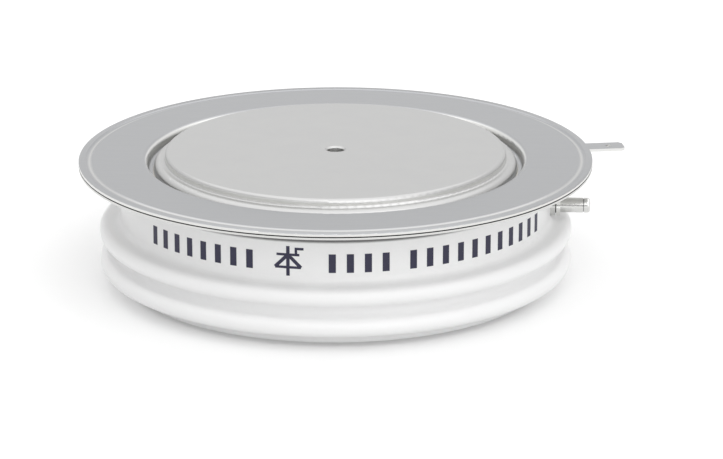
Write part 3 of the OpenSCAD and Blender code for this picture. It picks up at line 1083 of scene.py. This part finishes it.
@dataclass
class Insulator(SubAssembly):
    """The ceramic ring and the print on its neck: a thyristor's circuit symbol between plain blocks."""

    neck_radius: float = 63.0 * MM
    ink_film: float = 0.04 * MM
    # tools that cut the film: bars through the neck's wall and a sleeve on it
    bar_depth: float = 8.0 * MM
    sleeve_height: float = 20.0 * MM
    sleeve_sides: int = 720
    symbol_turn: float = math.radians(-98.15)
    symbol_height: float = 25.0 * MM
    symbol_size: float = 7.35 * MM
    stroke: float = 0.98 * MM
    fine_stroke: float = 0.72 * MM
    # parts of the symbol as shares of its width: the triangle's rise, the lead, the bar and the gate's leg
    triangle_share: float = 0.5
    lead_share: float = 1.17
    bar_share: float = 0.88
    leg_at_share: float = 0.31
    leg_rise_share: float = 0.24
    leg_reach_share: float = 0.24
    block_size: tuple[float, float] = (2.0 * MM, 5.4 * MM)
    block_height: float = 24.6 * MM
    block_pitch: float = math.radians(4.55)
    # first block's turn round the axis and how many follow, for each stretch of print
    block_rows: tuple[tuple[float, int], ...] = (
        (math.radians(-140.2), 8),
        (math.radians(-86.9), 4),
        (math.radians(-66.0), 11),
    )

    def stroke_piece(
        self, centre: tuple[float, float], size: tuple[float, float], tilt: float, turn: float
    ) -> Piece:
        """Adds one bar that stands through the neck's wall, to be cut to the ink's film.

        Args:
            centre: The bar's middle, across and up, from the print's middle in the neck's plane.
            size: The bar's width and height.
            tilt: How far it leans in that plane.
            turn: Where round the axis the print's middle is.

        Returns:
            The bar.
        """
        ModellingBench.clear()
        bpy.ops.mesh.primitive_cube_add(size=1.0)
        bar = bpy.context.object
        lean = Matrix.Rotation(tilt, 4, "Y")
        place = Matrix.Translation((centre[0], -self.neck_radius, centre[1]))
        about = Matrix.Rotation(turn + math.pi / 2, 4, "Z")
        stretch = Matrix.Diagonal((size[0], self.bar_depth, size[1], 1.0))
        bar.matrix_world = about @ place @ lean @ stretch
        bpy.ops.object.transform_apply(location=True, rotation=True, scale=True)
        return bar

    def symbol_strokes(self) -> list[Piece]:
        """Draws the circuit symbol of a thyristor: a triangle on its lead, a bar and the gate's leg.

        Returns:
            The symbol's bars.
        """
        size, stroke, fine, mid = self.symbol_size, self.stroke, self.fine_stroke, self.symbol_height
        half, rise = size / 2, size * self.triangle_share
        side = math.hypot(half, rise)
        slope = math.atan2(rise, half)
        base, apex = mid - rise / 2, mid + rise / 2
        leg, leg_rise, leg_reach = (
            size * share for share in (self.leg_at_share, self.leg_rise_share, self.leg_reach_share)
        )
        lines = [
            ((0.0, mid), (stroke, size * self.lead_share), 0.0),
            ((0.0, base), (size, fine), 0.0),
            ((0.0, apex), (size * self.bar_share, fine), 0.0),
            ((-half / 2, mid), (side, stroke), -slope),
            ((half / 2, mid), (side, stroke), slope),
            ((leg, apex + leg_rise / 2), (fine, leg_rise + fine), 0.0),
            ((leg + leg_reach / 2, apex + leg_rise), (leg_reach + fine, fine), 0.0),
        ]
        return [self.stroke_piece(centre, span, tilt, self.symbol_turn) for centre, span, tilt in lines]

    def block_strokes(self) -> list[Piece]:
        """Lays the plain blocks along the neck.

        Returns:
            The blocks.
        """
        return [
            self.stroke_piece((0.0, self.block_height), self.block_size, 0.0, first + self.block_pitch * i)
            for first, count in self.block_rows
            for i in range(count)
        ]

    def build(self) -> None:
        """Joins the bars and cuts from them the thin film that lies on the neck."""
        bars = self.symbol_strokes() + self.block_strokes()
        ModellingBench.clear()
        for bar in bars:
            bar.select_set(True)
        bpy.context.view_layer.objects.active = bars[0]
        bpy.ops.object.join()
        ink = bpy.context.object
        ink.name = ink.data.name = "neck_print"
        ModellingBench.clear()
        bpy.ops.mesh.primitive_cylinder_add(
            vertices=self.sleeve_sides,
            radius=self.neck_radius,
            depth=self.sleeve_height,
            end_fill_type="NOTHING",
            location=(0.0, 0.0, self.symbol_height),
        )
        sleeve = bpy.context.object
        bpy.ops.object.transform_apply(location=True, rotation=True, scale=True)
        wall = sleeve.modifiers.new("film", "SOLIDIFY")
        wall.thickness, wall.offset = self.ink_film, 1.0
        bpy.ops.object.modifier_apply(modifier=wall.name)
        ModellingBench.take(ink)
        cut = ink.modifiers.new("skin", "BOOLEAN")
        cut.operation, cut.object, cut.solver, cut.use_self = "INTERSECT", sleeve, "EXACT", True
        bpy.ops.object.modifier_apply(modifier=cut.name)
        bpy.data.objects.remove(sleeve)
        self.add_piece(ink, INK)

    def dress(self) -> None:
        """Dresses the ceramic ring."""
        self.dress_node("ceramic_ring", CERAMIC)


@dataclass
class AnodeSide(SubAssembly):
    """The lower pole and the flange that joins it to the ceramic's foot."""

    def dress(self) -> None:
        """Dresses the CAD nodes of the anode side."""
        self.dress_node("anode_pole", POLE_NICKEL)
        self.dress_node("anode_flange", RIM_SHEET_PAINTED_LIGHTER)


@dataclass
class GateTerminal(SubAssembly):
    """The eyelet in the ceramic's wall and the tube welded to it."""

    def dress(self) -> None:
        """Dresses the gate terminal."""
        self.dress_node("gate_eyelet", GATE_METAL)
        self.dress_node("gate_tube", GATE_METAL)


@dataclass
class SemiconductorStack(SubAssembly):
    """The wafer between its two discs, with the rings that seal and centre it, all sealed inside."""

    def dress(self) -> None:
        """Dresses the stack."""
        self.dress_node("anode_disc", MOLYBDENUM)
        self.dress_node("silicon_wafer", SILICON)
        self.dress_node("cathode_disc", MOLYBDENUM)
        self.dress_node("edge_ring", RUBBER)
        self.dress_node("centring_ring", RING_PLASTIC)


@dataclass
class GateContact(SubAssembly):
    """The sprung pin on the wafer's middle and the insulated lead to the gate tube, all sealed inside."""

    def dress(self) -> None:
        """Dresses the gate contact."""
        self.dress_node("gate_pin", SILVER)
        self.dress_node("gate_spring", SPRING_STEEL)
        self.dress_node("gate_cup", CUP_PLASTIC)
        self.dress_node("gate_lead", SILVER)
        self.dress_node("lead_sleeve", CUP_PLASTIC)


@dataclass(frozen=True)
class Softbox:
    """A wide lamp far away: its turn is counted from the camera's side, to the right."""

    name: str
    irradiance: float
    width: float
    rise: float
    turn: float

    def hang(self, camera_turn: float) -> None:
        """Hangs the lamp.

        Args:
            camera_turn: Where round the part the camera stands.
        """
        bpy.ops.object.light_add(type="SUN")
        lamp = bpy.context.object
        lamp.name = self.name
        lamp.data.energy = self.irradiance
        lamp.data.angle = self.width
        lamp.rotation_euler = (math.pi / 2 - self.rise, 0.0, camera_turn + self.turn + math.pi / 2)


@dataclass
class Studio:
    """Floor, light and camera of the portrait."""

    rim_centre: Vector
    floor_size: float = 12.0
    floor_drop: float = 0.05 * MM
    ambient: float = 0.48
    card_size: tuple[float, float] = (0.2, 0.42)
    card_distance: float = 1.1
    softboxes: tuple[Softbox, ...] = (
        Softbox("overhead softbox", 1.3, math.radians(110), math.radians(90), 0.0),
        Softbox("front softbox", 1.05, math.radians(80), math.radians(25), math.radians(22)),
    )
    camera_turn: float = math.radians(-86.0)
    camera_rise: float = math.radians(16.6)
    camera_distance: float = 1.0
    focal_px: float = 3418.0
    image_px: tuple[int, int] = (723, 459)
    rim_px: tuple[float, float] = (335.8, 155.4)
    sensor: float = 36.0
    clip: tuple[float, float] = (0.01, 100.0)

    def build_world(self) -> None:
        """Makes a world that is white to the eye and lights the part evenly."""
        world = bpy.data.worlds.new("Studio")
        bpy.context.scene.world = world
        world.use_nodes = True
        tree = world.node_tree
        tree.nodes.clear()
        strength = add_node(
            tree, "ShaderNodeMapRange", {"Value": seen_rays(tree), "To Min": self.ambient, "To Max": 1.0}
        )
        white = add_node(
            tree,
            "ShaderNodeBackground",
            {"Color": (1.0, 1.0, 1.0, 1.0), "Strength": strength.outputs["Result"]},
        )
        add_node(tree, "ShaderNodeOutputWorld", {"Surface": white.outputs["Background"]})

    def build_floor(self) -> None:
        """Lays the floor under the part, just clear of the face that stands on it."""
        ModellingBench.clear()
        bpy.ops.mesh.primitive_plane_add(size=self.floor_size, location=(0.0, 0.0, -self.floor_drop))
        floor = bpy.context.object
        floor.name = "floor"
        floor.data.materials.append(FLOOR.material())

    def towards_camera(self) -> Vector:
        """Gives the direction from the rim's centre to the camera."""
        level, height = math.cos(self.camera_rise), math.sin(self.camera_rise)
        return Vector((level * math.cos(self.camera_turn), level * math.sin(self.camera_turn), height))

    def build_card(self) -> None:
        """Stands a black card, which shows only in mirrors, on the floor behind the camera."""
        ModellingBench.clear()
        back = self.towards_camera()
        back.z = 0.0
        back.normalize()
        width, height = self.card_size
        bpy.ops.mesh.primitive_plane_add(
            size=1.0,
            location=back * self.card_distance + Vector((0.0, 0.0, height / 2)),
            rotation=back.to_track_quat("Z", "Y").to_euler(),
        )
        card = bpy.context.object
        card.scale = (width, height, 1.0)
        card.name = "black_card"
        card.data.materials.append(BLACK_CARD.material())
        card.visible_camera = False
        card.visible_diffuse = False
        card.visible_shadow = False

    def build_camera(self) -> None:
        """Sets the camera up so that the rim's centre falls on its pixel of the image."""
        back = self.towards_camera()
        right = Vector((-back.y, back.x, 0.0)).normalized()
        up = back.cross(right)
        width, height = self.image_px
        metres = self.camera_distance / self.focal_px
        across, down = width / 2 - self.rim_px[0], height / 2 - self.rim_px[1]
        aim = self.rim_centre + right * across * metres - up * down * metres
        place = self.rim_centre + back * self.camera_distance
        bpy.ops.object.camera_add(location=place)
        camera = bpy.context.object
        camera.rotation_euler = (aim - place).to_track_quat("-Z", "Y").to_euler()
        camera.data.sensor_width = self.sensor
        camera.data.lens = self.focal_px / width * self.sensor
        camera.data.clip_start, camera.data.clip_end = self.clip
        bpy.context.scene.camera = camera

    def build(self) -> None:
        """Builds the studio."""
        bpy.context.scene.view_settings.view_transform = "Standard"
        self.build_world()
        self.build_floor()
        self.build_card()
        for softbox in self.softboxes:
            softbox.hang(self.camera_turn)
        self.build_camera()


def main() -> None:
    """Loads the frame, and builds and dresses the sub-assemblies."""
    logging.basicConfig(level=logging.INFO, format="%(name)s: %(message)s")
    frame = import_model()
    lid_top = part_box("cathode_lid")[1].z
    Studio(Vector((0.0, 0.0, lid_top))).build()
    cathode_side, insulator = CathodeSide(frame), Insulator(frame)
    cathode_side.build()
    insulator.build()
    for sub_assembly in (
        cathode_side,
        insulator,
        AnodeSide(frame),
        GateTerminal(frame),
        SemiconductorStack(frame),
        GateContact(frame),
    ):
        sub_assembly.dress()


if __name__ == "__main__":
    main()
